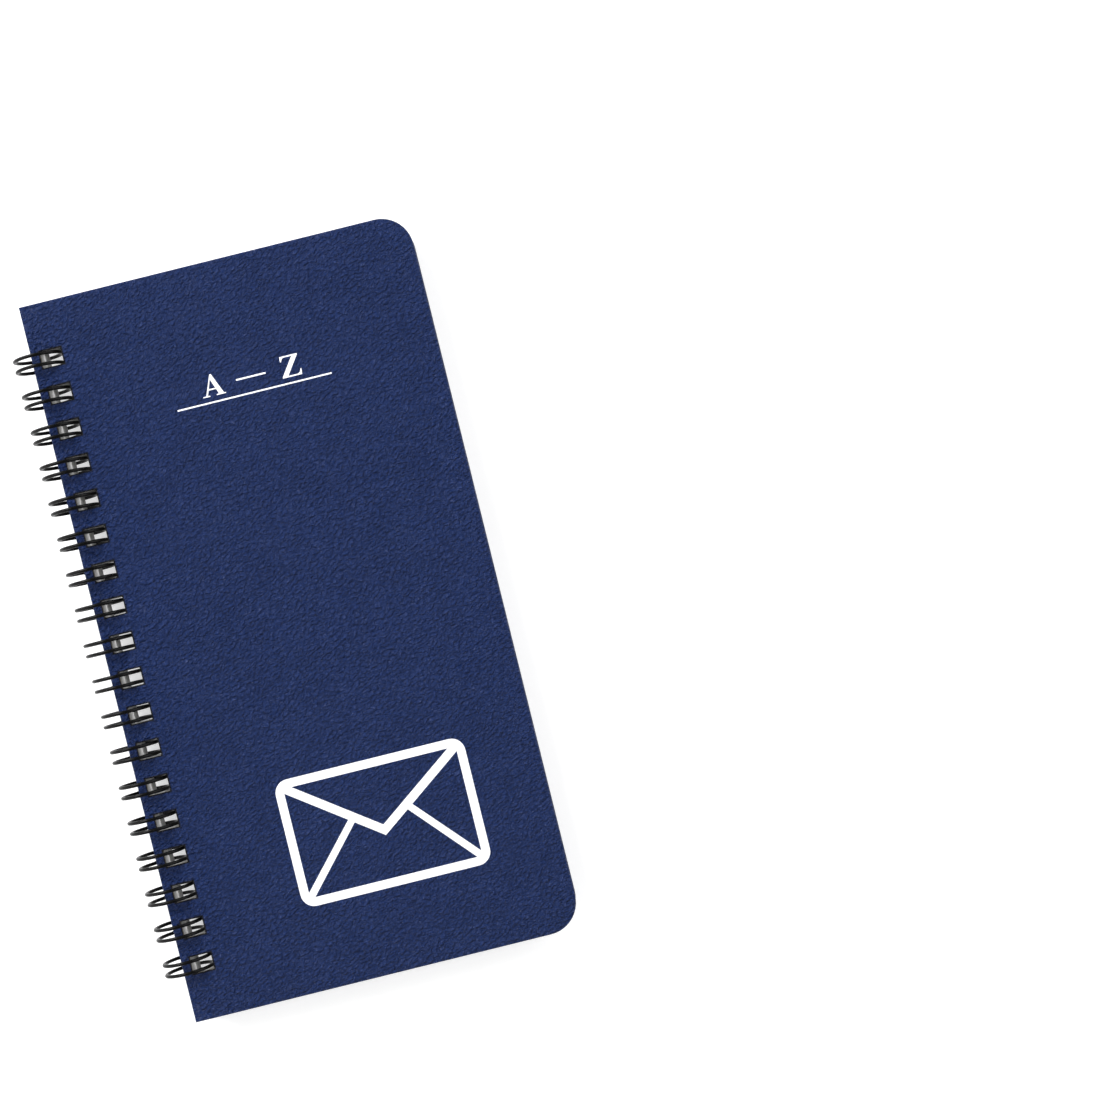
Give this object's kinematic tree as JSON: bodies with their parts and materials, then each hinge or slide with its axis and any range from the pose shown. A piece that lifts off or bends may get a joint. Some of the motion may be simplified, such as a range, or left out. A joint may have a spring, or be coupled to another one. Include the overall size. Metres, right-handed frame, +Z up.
{
  "type": "address book",
  "caption": "Slim pocket address book with leatherette covers, tabbed alphabetical index leaves and ruled pages that turn on a twin-loop wire binding.",
  "frame": {"origin": "under the middle of the closed book, on the surface that it lies on", "axes": "+X from the wire binding to the fore edge, +Y to the head of the book, +Z up through the front cover"},
  "size_m": [0.097, 0.17, 0.0118],
  "materials": {
    "cover_skin": "navy pebbled leatherette",
    "cover_board": "grey board",
    "cover_lining": "dull speckled navy lining",
    "page_paper": "white ruled paper",
    "flyleaf_paper": "plain white paper",
    "tab_label": "black grained label with gold letters",
    "binding_wire": "black coated steel wire"
  },
  "bodies": {
    "rear_cover": {"rear_cover_skin": "cover_skin", "rear_cover_board": "cover_board", "rear_cover_lining": "cover_lining", "twin_loop_wire": "binding_wire"},
    "section_yz": {"index_leaf_yz": "page_paper", "index_tab_yz": "tab_label", "pages_yz": "page_paper", "rear_flyleaf": "flyleaf_paper"},
    "section_wx": {"index_leaf_wx": "page_paper", "index_tab_wx": "tab_label", "pages_wx": "page_paper"},
    "section_uv": {"index_leaf_uv": "page_paper", "index_tab_uv": "tab_label", "pages_uv": "page_paper"},
    "section_st": {"index_leaf_st": "page_paper", "index_tab_st": "tab_label", "pages_st": "page_paper"},
    "section_qr": {"index_leaf_qr": "page_paper", "index_tab_qr": "tab_label", "pages_qr": "page_paper"},
    "section_op": {"index_leaf_op": "page_paper", "index_tab_op": "tab_label", "pages_op": "page_paper"},
    "section_mn": {"index_leaf_mn": "page_paper", "index_tab_mn": "tab_label", "pages_mn": "page_paper"},
    "section_kl": {"index_leaf_kl": "page_paper", "index_tab_kl": "tab_label", "pages_kl": "page_paper"},
    "section_ij": {"index_leaf_ij": "page_paper", "index_tab_ij": "tab_label", "pages_ij": "page_paper"},
    "section_gh": {"index_leaf_gh": "page_paper", "index_tab_gh": "tab_label", "pages_gh": "page_paper"},
    "section_ef": {"index_leaf_ef": "page_paper", "index_tab_ef": "tab_label", "pages_ef": "page_paper"},
    "section_cd": {"index_leaf_cd": "page_paper", "index_tab_cd": "tab_label", "pages_cd": "page_paper"},
    "section_ab": {"index_leaf_ab": "page_paper", "index_tab_ab": "tab_label", "pages_ab": "page_paper"},
    "front_flyleaf": {"front_flyleaf": "flyleaf_paper"},
    "front_cover": {"front_cover_skin": "cover_skin", "front_cover_board": "cover_board", "front_cover_lining": "cover_lining"}
  },
  "joints": [
    {"name": "turn_yz", "type": "hinge", "parent": "rear_cover", "child": "section_yz", "pos_m": [-0.04356, 0, 0.00592], "axis": [0, -1, 0], "range_deg": [0, 180]},
    {"name": "turn_wx", "type": "hinge", "parent": "section_yz", "child": "section_wx", "pos_m": [-0.04356, 0, 0.00592], "axis": [0, -1, 0], "range_deg": [0, 180]},
    {"name": "turn_uv", "type": "hinge", "parent": "section_wx", "child": "section_uv", "pos_m": [-0.04356, 0, 0.00592], "axis": [0, -1, 0], "range_deg": [0, 180]},
    {"name": "turn_st", "type": "hinge", "parent": "section_uv", "child": "section_st", "pos_m": [-0.04356, 0, 0.00592], "axis": [0, -1, 0], "range_deg": [0, 180]},
    {"name": "turn_qr", "type": "hinge", "parent": "section_st", "child": "section_qr", "pos_m": [-0.04356, 0, 0.00592], "axis": [0, -1, 0], "range_deg": [0, 180]},
    {"name": "turn_op", "type": "hinge", "parent": "section_qr", "child": "section_op", "pos_m": [-0.04356, 0, 0.00592], "axis": [0, -1, 0], "range_deg": [0, 180]},
    {"name": "turn_mn", "type": "hinge", "parent": "section_op", "child": "section_mn", "pos_m": [-0.04356, 0, 0.00592], "axis": [0, -1, 0], "range_deg": [0, 180]},
    {"name": "turn_kl", "type": "hinge", "parent": "section_mn", "child": "section_kl", "pos_m": [-0.04356, 0, 0.00592], "axis": [0, -1, 0], "range_deg": [0, 180]},
    {"name": "turn_ij", "type": "hinge", "parent": "section_kl", "child": "section_ij", "pos_m": [-0.04356, 0, 0.00592], "axis": [0, -1, 0], "range_deg": [0, 180]},
    {"name": "turn_gh", "type": "hinge", "parent": "section_ij", "child": "section_gh", "pos_m": [-0.04356, 0, 0.00592], "axis": [0, -1, 0], "range_deg": [0, 180]},
    {"name": "turn_ef", "type": "hinge", "parent": "section_gh", "child": "section_ef", "pos_m": [-0.04356, 0, 0.00592], "axis": [0, -1, 0], "range_deg": [0, 180]},
    {"name": "turn_cd", "type": "hinge", "parent": "section_ef", "child": "section_cd", "pos_m": [-0.04356, 0, 0.00592], "axis": [0, -1, 0], "range_deg": [0, 180]},
    {"name": "turn_ab", "type": "hinge", "parent": "section_cd", "child": "section_ab", "pos_m": [-0.04356, 0, 0.00592], "axis": [0, -1, 0], "range_deg": [0, 180]},
    {"name": "turn_front_flyleaf", "type": "hinge", "parent": "section_ab", "child": "front_flyleaf", "pos_m": [-0.04356, 0, 0.00592], "axis": [0, -1, 0], "range_deg": [0, 180]},
    {"name": "open_front_cover", "type": "hinge", "parent": "front_flyleaf", "child": "front_cover", "pos_m": [-0.04356, 0, 0.00592], "axis": [0, -1, 0], "range_deg": [0, 180]}
  ]
}
